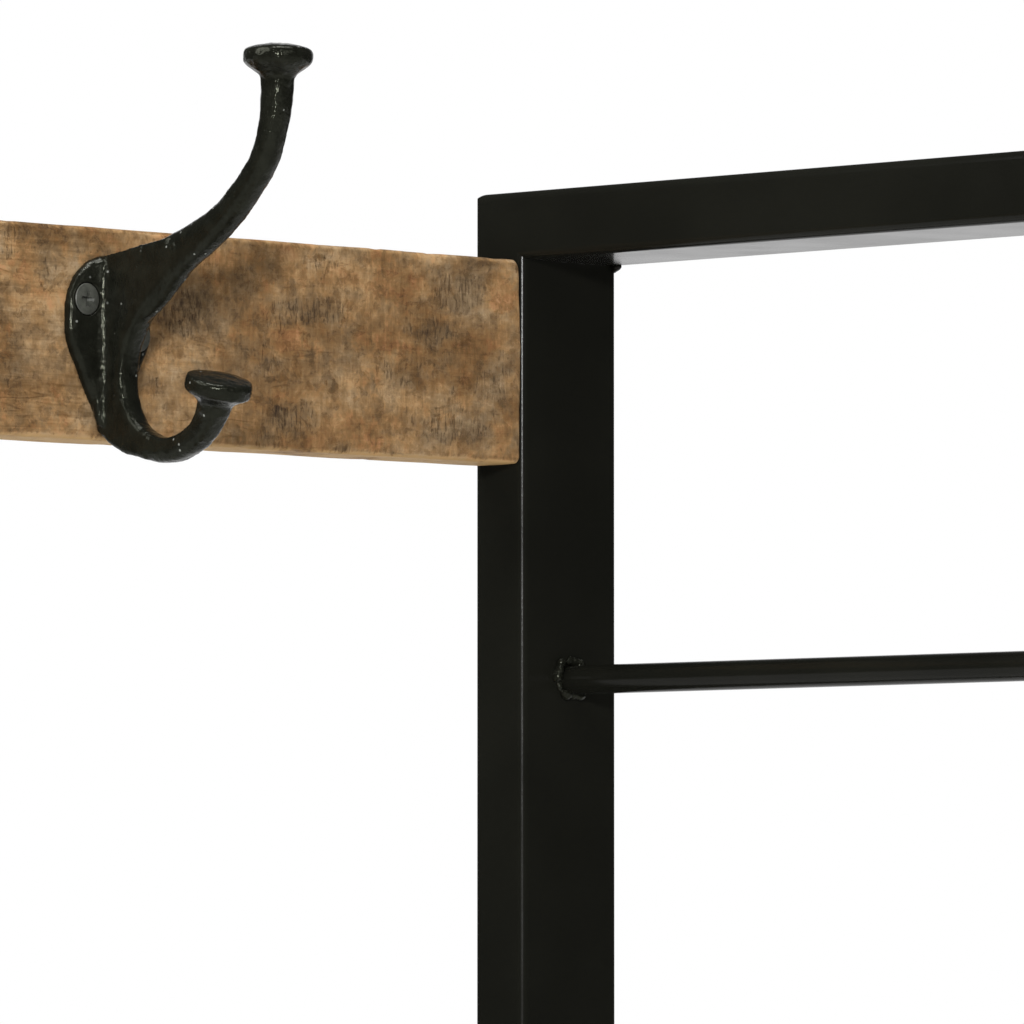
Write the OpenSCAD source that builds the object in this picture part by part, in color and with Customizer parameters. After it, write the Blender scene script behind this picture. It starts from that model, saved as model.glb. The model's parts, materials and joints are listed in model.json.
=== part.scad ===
// Hall tree: two welded side frames of steel tube carry a wooden hook board,
// a bench and a shoe shelf. The front faces -Y, +Z is up, and the origin is on
// the floor under the middle of the hall tree. Millimetres.

/* [Overall] */
// Width over the two side frames
overall_w = 1100; // [1060:10:1200]
// Depth of a side frame
overall_d = 350; // [330:2:400]
// Height of the top of the side frames above the floor
overall_h = 1800; // [1700:10:1900]

/* [Steel] */
// Tube width, across the hall tree
tube_w = 40; // [40:1:45]
// Tube thickness, in the plane of a side frame
tube_t = 20; // [20:0.5:22]
// Tube wall
tube_wall = 1.5; // [1.5:0.1:2]
// Outer corner radius of the tube
tube_r = 2.5; // [2.2:0.1:3]
// Diameter of the round rods
rod_d = 8.5; // [6:0.5:10]
// Distance from a rail down or up to the rod beside it
rod_gap = 122.5; // [100:0.5:125]

/* [Hook board] */
// Height of the hook board
board_h = 60; // [60:1:64]
// Thickness of the hook board
board_t = 18; // [17:0.5:18]
// Distance between neighbouring hooks
hook_pitch = 172; // [150:1:175]

/* [Bench and shelf] */
// Height of the bench's top
bench_z = 460; // [420:5:480]
// Height of the shoe shelf's top
shelf_z = 170; // [160:5:190]
// Thickness of the planks
plank_t = 20; // [18:0.5:20]
// Gap between neighbouring planks
plank_gap = 7; // [4:0.5:10]

/* [Feet] */
// Height of the side frames above the floor
foot_h = 14; // [14:0.5:15]
// Diameter of a foot pad
pad_d = 32; // [28:1:36]

/* [Hidden] */
$fn = 48;
SIDES = ["left", "right"];
ENDS = ["front", "back"];
ROWS = ["front", "middle", "back"];
HOOKS = [1, 2, 3, 4, 5];
FRAME_PIECES = ["front_post", "back_post", "top_rail", "bottom_rail", "bench_side_rail", "shelf_side_rail",
    "upper_rod", "guard_rod", "shoe_rod", "frame_welds", "frame_bolts"];

slack = 1;                                   // how far a cutter runs past what it cuts
steel_black = [0.07, 0.07, 0.06];
zinc = [0.62, 0.62, 0.60];
dark_oxide = [0.16, 0.16, 0.16];
wood_brown = [0.55, 0.38, 0.22];

// side frames
inner_x = overall_w / 2 - tube_w;            // inner face of a side frame
mid_x = overall_w / 2 - tube_w / 2;
front_y = -overall_d / 2;
back_y = overall_d / 2;
post_y = overall_d / 2 - tube_t / 2;         // middle of the back post
inner_d = overall_d - 2 * tube_t;            // clear depth between the posts
frame_r = 4;                                 // ground corner of the mitred frame
bench_rail_z = bench_z - tube_t / 2;
shelf_rail_z = shelf_z - tube_t / 2;
rod_zs = [overall_h - tube_t - rod_gap, bench_z + rod_gap, (shelf_z + bench_z - tube_t) / 2];
bead_w = 2.8;                                // weld bead round a rod's end: width and height
bead_h = 3;
fillet = 3;                                  // weld fillet in a corner between two tubes

// cross rails: the same tube stood on edge, closed by end plates
rail_h = tube_w;
plate_t = 4;
rail_len = 2 * (inner_x - plate_t);
bench_rail_top = bench_z - plank_t;
shelf_rail_top = shelf_z - plank_t;

// bolts, M6 with button heads on the outer faces
bolt_r = 3;
bolt_hole_r = 3.25;
bolt_head_r = 5.25;
bolt_head_h = 3.3;
bolt_hex = 4;                                // socket across its flats
rail_bolt_dz = 10;                           // above and below a cross rail's middle
rail_bolt_reach = overall_w / 2 - inner_x + 10;

// hook board
board_z = overall_h - tube_t - board_h / 2;
board_front = back_y - tube_t;
board_back = board_front + board_t;
board_y = (board_front + board_back) / 2;
board_len = 2 * inner_x;
board_bolt_dz = 15;
nut_r = 5;
nut_len = 14;
nut_x = inner_x - 30;                        // barrel nut, from the middle of the board
board_bolt_past = 8;                         // how far the bolt runs past the nut's middle
board_bolt_reach = overall_w / 2 - nut_x + board_bolt_past;

// wall brackets: flat strips behind the board
bracket_x = 1.5 * hook_pitch;
bracket_w = 20;
bracket_t = back_y - board_back;
bracket_h = 60;
bracket_z = board_z - board_h / 2 - bracket_w;
wall_hole_r = 3;
bracket_screw_zs = [bracket_z + 30, bracket_z + 48];
bracket_screw_len = 12;                      // from the board's back
bracket_screw_head_r = 3.6;

// hook: d is the distance forward from the board, h the height from its middle
base_t = 3.5;
base_r = 15.2;
base_low_h = 1.5;                            // straight sides from here
base_high_h = 8;                             // up to here
tip_r = 3;
tip_h = -24.5;
hook_web = 8;
hook_web_points = [[0.5, 22.5], [17, 25], [34, 29], [30, 15], [18, 5], [11.5, -4], [9.5, -18], [14, -28],
    [22, -33], [20, -34.8], [11, -33.6], [5, -30.7], [0.5, -27]];
arm_r = 4.1;
arm_bend_r = 42;
arm_bend = [27.3, 67];                       // centre of the upper arm's bend
arm_slope = 25;                              // the upper arm leaves the base at this angle
arm_root_len = 38;
arm_root_r = 7;
joint = 1;                                   // how far one stretch of an arm runs into the next
joint_r = 0.25;                              // and how much fatter it is there
crook_r = 3.4;
crook_root_r = 5;
crook_root_len = 24;
crook_bend_r = 18.7;
crook_bend = [26.6, -14.9];                  // centre of the lower arm's bend
crook_end = 165;                             // how far round the lower arm bends
upper_neck = 1.2;
knob_r = 9.5;
knob_h = 8.3;                                // from the neck to the top of the dome
knob_tilt = 18;                              // the lower knob leans forward
hook_screws_at = [[-9.8, 9.2], [9.8, -0.3]];
hook_screw_head_r = 4.4;
hook_screw_head_h = 2.4;
wood_screw_r = 2;
hook_screw_len = 16;
cross_w = 0.9;                               // driver recess: width and depth of its slots
cross_depth = 1.1;

// planks, on the cross rails and on flat support bars
plank_len = 2 * inner_x - 4;
plank_w = (overall_d - 2 * plank_gap) / 3;
plank_r = 2;
bar_w = 30;
bar_t = 4;
bar_xs = [-480, -160, 160, 480];
plank_screw_dy = 28;                         // each side of a plank's middle
plank_screw_len = 14;
plank_screw_head_r = 4;
plank_screw_head_h = 2.4;

// feet: an M8 stud in a bush in the bottom rail, and a pad
foot_y = back_y - 30;
bush_r = 7;
bush_h = 14;
stud_r = 3.95;
stud_hole_r = 4;
stud_z = 3;
stud_top = foot_h + 16;
pad_rim_z = 5.5;
pad_top = foot_h - 3;
hub_r = 7;

function side_x(side) = side == "left" ? -1 : 1;
function end_y(end) = end == "front" ? -1 : 1;
function plank_y(row) = (search([row], ROWS)[0] - 1) * (plank_w + plank_gap);

// ---- shared shapes ----

module rounded_rect(w, h, r) {
    square([w - 2 * r, h], center = true);
    square([w, h - 2 * r], center = true);
    for (x = [-1, 1]) for (y = [-1, 1]) translate([x * (w / 2 - r), y * (h / 2 - r)]) circle(r = r);
}

module tube(w, h, length) {
    linear_extrude(length, center = true) difference() {
        rounded_rect(w, h, tube_r);
        rounded_rect(w - 2 * tube_wall, h - 2 * tube_wall, tube_r - tube_wall);
    }
}

// turns a shape drawn in X and Y into one drawn in Y and Z, extruded along X
module along_x() { rotate([90, 0, 90]) children(); }

// turns a shape drawn in X and Y into one drawn in X and Z, extruded along -Y
module along_y() { rotate([90, 0, 0]) children(); }

// outline of a whole side frame from the side, with its ground corners
module frame_blank() {
    translate([0, 0, (overall_h + foot_h) / 2]) along_x()
        linear_extrude(tube_w + 2 * slack, center = true)
            rounded_rect(overall_d, overall_h - foot_h, frame_r);
}

// part of a side frame that belongs to one mitred tube, given by its outline from the side
module mitre(points) {
    along_x() linear_extrude(tube_w + 2 * slack, center = true) polygon(points);
}

module bolt_holes_x(x0, x1, y, zs, r) {
    for (z = zs) translate([x0, y, z]) rotate([0, 90, 0]) cylinder(r = r, h = x1 - x0);
}

// ---- side frames ----

rail_bolt_zs = [for (top = [bench_rail_top, shelf_rail_top]) for (dz = [-rail_bolt_dz, rail_bolt_dz])
    top - rail_h / 2 + dz];
board_bolt_zs = [for (dz = [-board_bolt_dz, board_bolt_dz]) board_z + dz];

module post(side, end) {
    y = end_y(end);
    color(steel_black) translate([side_x(side) * mid_x, 0, 0]) difference() {
        intersection() {
            translate([0, y * post_y, (overall_h + foot_h) / 2]) tube(tube_w, tube_t, overall_h - foot_h);
            frame_blank();
            mitre([[y * back_y, foot_h], [y * back_y, overall_h],
                [y * (back_y - tube_t), overall_h - tube_t], [y * (back_y - tube_t), foot_h + tube_t]]);
        }
        bolt_holes_x(-tube_w, tube_w, y * post_y, rail_bolt_zs, bolt_hole_r);
        if (end == "back") bolt_holes_x(-tube_w, tube_w, board_y, board_bolt_zs, bolt_hole_r);
    }
}

module top_rail(side) {
    color(steel_black) translate([side_x(side) * mid_x, 0, 0]) intersection() {
        translate([0, 0, overall_h - tube_t / 2]) along_y() tube(tube_w, tube_t, overall_d);
        frame_blank();
        mitre([[front_y, overall_h], [back_y, overall_h],
            [back_y - tube_t, overall_h - tube_t], [front_y + tube_t, overall_h - tube_t]]);
    }
}

module bottom_rail(side) {
    color(steel_black) translate([side_x(side) * mid_x, 0, 0]) difference() {
        intersection() {
            translate([0, 0, foot_h + tube_t / 2]) along_y() tube(tube_w, tube_t, overall_d);
            frame_blank();
            mitre([[front_y, foot_h], [back_y, foot_h],
                [back_y - tube_t, foot_h + tube_t], [front_y + tube_t, foot_h + tube_t]]);
        }
        for (y = [-foot_y, foot_y]) translate([0, y, foot_h - slack])
            cylinder(r = bush_r, h = tube_wall + 2 * slack);
    }
}

module side_rail(side, z) {
    color(steel_black) translate([side_x(side) * mid_x, 0, z]) along_y() tube(tube_w, tube_t, inner_d);
}

module rod(side, z) {
    color(steel_black) translate([side_x(side) * mid_x, inner_d / 2, z]) along_y()
        cylinder(d = rod_d, h = inner_d);
}

// bead round a rod's end, seated on the face at the origin and pointing along +Z
module rod_bead() {
    rotate_extrude() translate([rod_d / 2, 0])
        polygon([[0, 0], [bead_w, 0], [bead_w - 0.6, 1.4], [0.8, bead_h], [0, bead_h]]);
}

// fillet along X in the corner between a face of normal +Y and one of normal +Z
module corner_fillet() {
    along_x() linear_extrude(tube_w - 2 * tube_r, center = true) polygon([[0, 0], [fillet, 0], [0, fillet]]);
}

module frame_welds(side) {
    color(steel_black) translate([side_x(side) * mid_x, 0, 0]) for (e = [-1, 1]) {
        for (z = rod_zs) translate([0, e * inner_d / 2, z]) rotate([e * 90, 0, 0]) rod_bead();
        translate([0, e * inner_d / 2, 0]) mirror([0, e > 0 ? 1 : 0, 0]) {
            for (z = [foot_h + tube_t, bench_z, shelf_z]) translate([0, 0, z]) corner_fillet();
            for (z = [overall_h - tube_t, bench_z - tube_t, shelf_z - tube_t])
                translate([0, 0, z]) mirror([0, 0, 1]) corner_fillet();
        }
    }
}

// button-head bolt with its head's underside at the origin, its shank along -Z
module button_bolt(length) {
    translate([0, 0, -length]) cylinder(r = bolt_r, h = length);
    difference() {
        rotate_extrude() polygon([[0, 0], [bolt_head_r, 0], [bolt_head_r, 0.8], [bolt_head_r - 0.9, 2.2],
            [bolt_head_r - 2.2, bolt_head_h], [0, bolt_head_h]]);
        translate([0, 0, bolt_head_h - 2]) cylinder(d = bolt_hex / cos(30), h = 2 + slack, $fn = 6);
    }
}

module frame_bolts(side) {
    color(dark_oxide) mirror([side == "left" ? 1 : 0, 0, 0]) translate([overall_w / 2, 0, 0]) {
        for (y = [-post_y, post_y]) for (z = rail_bolt_zs)
            translate([0, y, z]) rotate([0, 90, 0]) button_bolt(rail_bolt_reach);
        for (z = board_bolt_zs) translate([0, board_y, z]) rotate([0, 90, 0]) button_bolt(board_bolt_reach);
    }
}

// ---- hook board ----

module hook_board() {
    color(wood_brown) difference() {
        translate([0, board_y, board_z]) along_x()
            linear_extrude(board_len, center = true) rounded_rect(board_t, board_h, 1.5);
        for (n = HOOKS) for (at = hook_screws_at)
            translate([hook_x(n) + at[0], board_front, board_z + at[1]]) rotate([-90, 0, 0])
                translate([0, 0, -slack]) cylinder(r = wood_screw_r, h = hook_screw_len - base_t + slack);
        for (s = [-1, 1]) for (z = board_bolt_zs) translate([s * nut_x, board_back, z]) {
            rotate([90, 0, 0]) translate([0, 0, -slack]) cylinder(r = nut_r, h = nut_len + slack);
            translate([-s * board_bolt_past, board_y - board_back, 0]) rotate([0, s * 90, 0])
                cylinder(r = bolt_hole_r, h = inner_x - nut_x + board_bolt_past + slack);
        }
        for (s = [-1, 1]) for (z = bracket_screw_zs) translate([s * bracket_x, board_back + slack, z])
            rotate([90, 0, 0]) cylinder(r = wood_screw_r, h = bracket_screw_len + slack);
    }
}

module board_barrel_nuts() {
    color(zinc) for (s = [-1, 1]) for (z = board_bolt_zs) difference() {
        translate([s * nut_x, board_back, z]) rotate([90, 0, 0]) cylinder(r = nut_r, h = nut_len);
        translate([s * nut_x - 2 * nut_r, board_y, z]) rotate([0, 90, 0]) cylinder(r = bolt_r, h = 4 * nut_r);
    }
}

module wall_bracket(side) {
    color(steel_black) translate([side_x(side) * bracket_x, board_back, bracket_z]) difference() {
        translate([-bracket_w / 2, 0, 0]) cube([bracket_w, bracket_t, bracket_h]);
        translate([0, -slack, bracket_w / 2]) rotate([-90, 0, 0])
            cylinder(r = wall_hole_r, h = bracket_t + 2 * slack);
        for (z = bracket_screw_zs) translate([0, 0, z - bracket_z]) rotate([-90, 0, 0])
            cylinder(r1 = wood_screw_r, r2 = bracket_screw_head_r, h = bracket_t);
    }
}

module wall_bracket_screws() {
    color(zinc) for (s = [-1, 1]) for (z = bracket_screw_zs) translate([s * bracket_x, board_back, z])
        rotate([-90, 0, 0]) difference() {
            union() {
                cylinder(r1 = wood_screw_r, r2 = bracket_screw_head_r, h = bracket_t);
                translate([0, 0, -bracket_screw_len]) cylinder(r = wood_screw_r, h = bracket_screw_len);
            }
            cross_slot(bracket_t, 4);
        }
}

// cross-shaped driver recess cut from the height top downwards
module cross_slot(top, size) {
    for (a = [0, 90]) rotate([0, 0, a]) translate([0, 0, top + (slack - cross_depth) / 2])
        cube([size, cross_w, cross_depth + slack], center = true);
}

// ---- hooks ----

function hook_x(n) = (n - 3) * hook_pitch;

// places a shape drawn with X forward of the board and Y up, extruded across the hook
module hook_side_view() { mirror([0, 1, 0]) rotate([90, 0, 90]) children(); }

// outline of the base plate: a disc with straight sides that narrows to a rounded tip
module base_outline() {
    lean = asin((base_r - tip_r) / (base_low_h - tip_h));
    translate([0, base_high_h]) circle(r = base_r);
    translate([-base_r, base_low_h]) square([2 * base_r, base_high_h - base_low_h]);
    translate([0, base_low_h]) circle(r = base_r);
    translate([0, tip_h]) circle(r = tip_r);
    polygon([for (s = [-1, 1]) for (c = s > 0 ? [[base_r, base_low_h], [tip_r, tip_h]]
        : [[tip_r, tip_h], [base_r, base_low_h]]) [s * c[0] * cos(lean), c[1] - c[0] * sin(lean)]]);
}

// domed knob on a flared neck, along +Z; the neck starts a little inside the arm
module knob(neck_r, neck) {
    rotate_extrude() polygon([[0, -neck - joint], [neck_r, -neck - joint], [neck_r, 0], [knob_r - 0.8, 2.7],
        [knob_r, 3.4], [knob_r, 6], [knob_r - 0.8, 6.8], [knob_r / 2, knob_h - 0.4], [0, knob_h]]);
}

module hook(n) {
    color(steel_black) translate([hook_x(n), board_front, board_z]) difference() {
        union() {
            along_y() linear_extrude(base_t) base_outline();
            hook_side_view() {
                linear_extrude(hook_web, center = true) polygon(hook_web_points);
                upper_arm();
                lower_arm();
            }
        }
        for (at = hook_screws_at) translate([at[0], 0, at[1]]) rotate([90, 0, 0]) {
            translate([0, 0, -slack]) cylinder(r = wood_screw_r + 0.3, h = base_t + slack);
            translate([0, 0, base_t - hook_screw_head_h])
                cylinder(r1 = wood_screw_r, r2 = hook_screw_head_r, h = hook_screw_head_h);
            translate([0, 0, base_t]) cylinder(r = hook_screw_head_r, h = 4);
        }
    }
}

// The upper arm runs from the base as a taper and then bends upwards to its knob
module upper_arm() {
    start = arm_bend + arm_bend_r * [sin(arm_slope), -cos(arm_slope)];
    translate(arm_bend) rotate([0, 0, arm_slope - 90]) rotate_extrude(angle = 90 - arm_slope)
        translate([arm_bend_r, 0]) circle(r = arm_r);
    translate(start) rotate([0, -90, arm_slope]) translate([0, 0, -joint])
        cylinder(r1 = arm_r + joint_r, r2 = arm_root_r, h = arm_root_len + joint);
    translate(arm_bend + [arm_bend_r, upper_neck - joint]) rotate([-90, 0, 0]) knob(arm_r + 0.5, upper_neck);
}

// The lower arm drops along the web, bends forwards and rises to a leaning knob
module lower_arm() {
    tip = crook_bend + crook_bend_r * [-cos(crook_end), -sin(crook_end)];
    translate(crook_bend) rotate([0, 0, 180]) rotate_extrude(angle = crook_end)
        translate([crook_bend_r, 0]) circle(r = crook_r);
    translate(crook_bend - [crook_bend_r, 0]) rotate([-90, 0, 0])
        cylinder(r1 = crook_r, r2 = crook_root_r, h = crook_root_len);
    translate(tip) rotate([-90, 0, -knob_tilt]) knob(crook_r + 0.9, 0);
}

module hook_screws() {
    color(dark_oxide) for (n = HOOKS) for (at = hook_screws_at)
        translate([hook_x(n) + at[0], board_front, board_z + at[1]]) rotate([90, 0, 0]) difference() {
            union() {
                translate([0, 0, base_t - hook_screw_len]) cylinder(r = wood_screw_r, h = hook_screw_len - 1);
                translate([0, 0, base_t - hook_screw_head_h])
                    cylinder(r1 = wood_screw_r, r2 = hook_screw_head_r, h = hook_screw_head_h);
            }
            rotate([0, 0, 20]) cross_slot(base_t, 4.6);
        }
}

// ---- bench and shelf ----

module cross_rail(end, top) {
    color(steel_black) translate([0, end_y(end) * post_y, top - rail_h / 2]) along_x()
        tube(tube_t, rail_h, rail_len);
}

module rail_end_plates() {
    color(steel_black)
        for (s = [-1, 1]) for (y = [-post_y, post_y]) for (top = [bench_rail_top, shelf_rail_top])
        translate([s * (inner_x - plate_t / 2), y, top - rail_h / 2]) difference() {
            along_x() linear_extrude(plate_t, center = true) rounded_rect(tube_t, rail_h, tube_r);
            bolt_holes_x(-plate_t, plate_t, 0, [-rail_bolt_dz, rail_bolt_dz], bolt_r);
        }
}

module supports(top) {
    color(steel_black) for (x = bar_xs) translate([x, 0, top - bar_t / 2]) difference() {
        cube([bar_w, inner_d, bar_t], center = true);
        for (row = ROWS) for (dy = [-plank_screw_dy, plank_screw_dy])
            translate([0, plank_y(row) + dy, -bar_t]) cylinder(r = wood_screw_r, h = 2 * bar_t);
    }
}

module plank(row, top) {
    color(wood_brown) difference() {
        translate([0, plank_y(row), top - plank_t / 2]) along_x()
            linear_extrude(plank_len, center = true) rounded_rect(plank_w, plank_t, plank_r);
        for (x = bar_xs) for (dy = [-plank_screw_dy, plank_screw_dy])
            translate([x, plank_y(row) + dy, top - plank_t - slack])
                cylinder(r = wood_screw_r, h = plank_screw_len - bar_t + slack);
    }
}

module plank_screws(top) {
    color(zinc) for (x = bar_xs) for (row = ROWS) for (dy = [-plank_screw_dy, plank_screw_dy])
        translate([x, plank_y(row) + dy, top - plank_t - bar_t]) {
            cylinder(r = wood_screw_r, h = plank_screw_len);
            translate([0, 0, -plank_screw_head_h]) cylinder(r = plank_screw_head_r, h = plank_screw_head_h);
        }
}

// ---- feet ----

module foot_inserts() {
    color(zinc) for (x = [-mid_x, mid_x]) for (y = [-foot_y, foot_y]) translate([x, y, foot_h]) difference() {
        cylinder(r = bush_r, h = bush_h);
        translate([0, 0, -slack]) cylinder(r = stud_hole_r, h = bush_h + 2 * slack);
    }
}

module foot_stud(end, side) {
    color(zinc) translate([side_x(side) * mid_x, end_y(end) * foot_y, 0]) {
        translate([0, 0, stud_z]) cylinder(r = stud_r, h = stud_top - stud_z - 1);
        translate([0, 0, stud_top - 1]) cylinder(r1 = stud_r, r2 = stud_r - 1, h = 1);
    }
}

module foot_pad(end, side) {
    color(steel_black) translate([side_x(side) * mid_x, end_y(end) * foot_y, 0]) rotate_extrude()
        polygon([[0, 0], [pad_d / 2 - 1.5, 0], [pad_d / 2, 1.5], [pad_d / 2, 4], [pad_d / 2 - 1.5, pad_rim_z],
            [hub_r + 1, pad_rim_z + 1], [hub_r, pad_rim_z + 2], [hub_r, pad_top], [stud_r, pad_top],
            [stud_r, stud_z], [0, stud_z]]);
}

// ---- nodes ----

for (s = SIDES) {
    for (e = ENDS) post(s, e);
    top_rail(s);
    bottom_rail(s);
    side_rail(s, bench_rail_z);
    side_rail(s, shelf_rail_z);
    rod(s, rod_zs[0]);
    rod(s, rod_zs[1]);
    rod(s, rod_zs[2]);
    frame_welds(s);
    frame_bolts(s);
    wall_bracket(s);
    for (e = ENDS) foot_stud(e, s);
    for (e = ENDS) foot_pad(e, s);
}
hook_board();
board_barrel_nuts();
wall_bracket_screws();
hook_screws();
for (n = HOOKS) hook(n);
for (e = ENDS) {
    cross_rail(e, bench_rail_top);
    cross_rail(e, shelf_rail_top);
}
rail_end_plates();
supports(bench_rail_top);  // bench_supports
supports(shelf_rail_top);  // shelf_supports
for (r = ROWS) {
    plank(r, bench_z);
    plank(r, shelf_z);
}
plank_screws(bench_z);  // bench_plank_screws
plank_screws(shelf_z);  // shelf_plank_screws
foot_inserts();
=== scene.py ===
"""Looks of the hall tree: camera, studio, materials, and the pieces that need more than the CAD solids show."""
import json
import math
import random

import bmesh
import bpy
import numpy as np
from mathutils import Matrix, Vector, noise


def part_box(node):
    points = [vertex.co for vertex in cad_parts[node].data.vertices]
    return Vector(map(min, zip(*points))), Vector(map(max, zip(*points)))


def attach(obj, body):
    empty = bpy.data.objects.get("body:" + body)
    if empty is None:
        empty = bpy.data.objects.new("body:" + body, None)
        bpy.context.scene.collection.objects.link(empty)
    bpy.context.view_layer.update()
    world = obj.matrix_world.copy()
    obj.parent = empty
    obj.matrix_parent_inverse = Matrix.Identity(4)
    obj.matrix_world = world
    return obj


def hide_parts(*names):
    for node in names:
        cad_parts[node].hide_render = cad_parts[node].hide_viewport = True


MM = 0.001
BODY = "frame"

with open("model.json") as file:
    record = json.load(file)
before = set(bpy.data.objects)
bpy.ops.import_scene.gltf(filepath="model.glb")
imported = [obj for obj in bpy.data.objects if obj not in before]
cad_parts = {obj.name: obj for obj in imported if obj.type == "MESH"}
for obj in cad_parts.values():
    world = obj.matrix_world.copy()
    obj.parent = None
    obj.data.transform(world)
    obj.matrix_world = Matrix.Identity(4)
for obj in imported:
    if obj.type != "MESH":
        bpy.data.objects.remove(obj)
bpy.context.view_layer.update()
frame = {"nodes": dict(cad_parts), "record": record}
nodes = frame["nodes"]

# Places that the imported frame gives
post_lo, post_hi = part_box("right_back_post")
board_lo, board_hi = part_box("hook_board")
board_front = board_lo.y
board_mid_z = (board_lo.z + board_hi.z) / 2
HOOKS = [f"hook_{n}" for n in range(1, 6)]
SIDES = ("left", "right")


# ---- small helpers ----

def srgb(r, g, b):
    """A colour given as it looks on a screen, 0 to 255, as linear light."""
    return tuple(((c / 255 + 0.055) / 1.055) ** 2.4 if c > 10 else c / 255 / 12.92 for c in (r, g, b)) + (1.0,)


def add_mesh(name, verts, faces, smooth=True):
    mesh = bpy.data.meshes.new(name)
    mesh.from_pydata([tuple(v) for v in verts], [], [tuple(f) for f in faces])
    mesh.update()
    return add_object(name, mesh, smooth)


def add_object(name, mesh, smooth=True):
    obj = bpy.data.objects.new(name, mesh)
    bpy.context.scene.collection.objects.link(obj)
    mesh.polygons.foreach_set("use_smooth", [smooth] * len(mesh.polygons))
    return obj


def object_from(bm, name):
    """A new object from a bmesh whose faces are first turned to look outwards."""
    bmesh.ops.recalc_face_normals(bm, faces=bm.faces)
    mesh = bpy.data.meshes.new(name)
    bm.to_mesh(mesh)
    bm.free()
    return add_object(name, mesh)


def mesh_of(obj):
    """The object's mesh, once the object itself is gone."""
    mesh = obj.data
    bpy.data.objects.remove(obj)
    return mesh


def finish_piece(obj, material, slot, body=BODY, replaces=()):
    """Gives a new piece its material, parents it to its body's empty and hides the CAD parts that it replaces.
    """
    obj.data.materials.clear()
    obj.data.materials.append(material)
    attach(obj, body)
    if replaces:
        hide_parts(*replaces)
    return obj


def baked(obj, *modifiers):
    """Adds each (kind, settings) modifier in turn and keeps the result as the object's own mesh."""
    for kind, settings in modifiers:
        modifier = obj.modifiers.new(kind, kind)
        for key, value in settings.items():
            setattr(modifier, key, value)
    bpy.context.view_layer.update()
    evaluated = obj.evaluated_get(bpy.context.evaluated_depsgraph_get())
    mesh = bpy.data.meshes.new_from_object(evaluated)
    obj.modifiers.clear()
    old = obj.data
    obj.data = mesh
    bpy.data.meshes.remove(old)
    mesh.polygons.foreach_set("use_smooth", [True] * len(mesh.polygons))
    return obj


def set_attribute(mesh, name, values):
    """One number for each vertex, which a material can read."""
    mesh.attributes.new(name, "FLOAT", "POINT").data.foreach_set("value", np.asarray(values, np.float32))


def coordinates(mesh):
    co = np.zeros(len(mesh.vertices) * 3, np.float32)
    mesh.vertices.foreach_get("co", co)
    return co.reshape(-1, 3).astype(float)


def lumps(points, size, seed=0.0, octaves=2):
    """Smooth noise from about -1 to 1 at each point, with features of this size in metres."""
    shift = Vector((seed * 7.13, seed * 3.71, seed * 5.39))
    return np.array([noise.fractal(Vector(p) / size + shift, 0.6, 2.0, octaves) for p in points])


def roughen(obj, *layers):
    """Moves each vertex along its normal by layers of noise, each (height, size, seed)."""
    mesh = obj.data
    co = coordinates(mesh)
    normals = np.zeros(len(mesh.vertices) * 3, np.float32)
    mesh.vertices.foreach_get("normal", normals)
    step = sum(height * lumps(co, size, seed) for height, size, seed in layers)
    mesh.vertices.foreach_set("co", (co + normals.reshape(-1, 3) * step[:, None]).astype(np.float32).ravel())
    mesh.update()


# ---- materials ----

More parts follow.
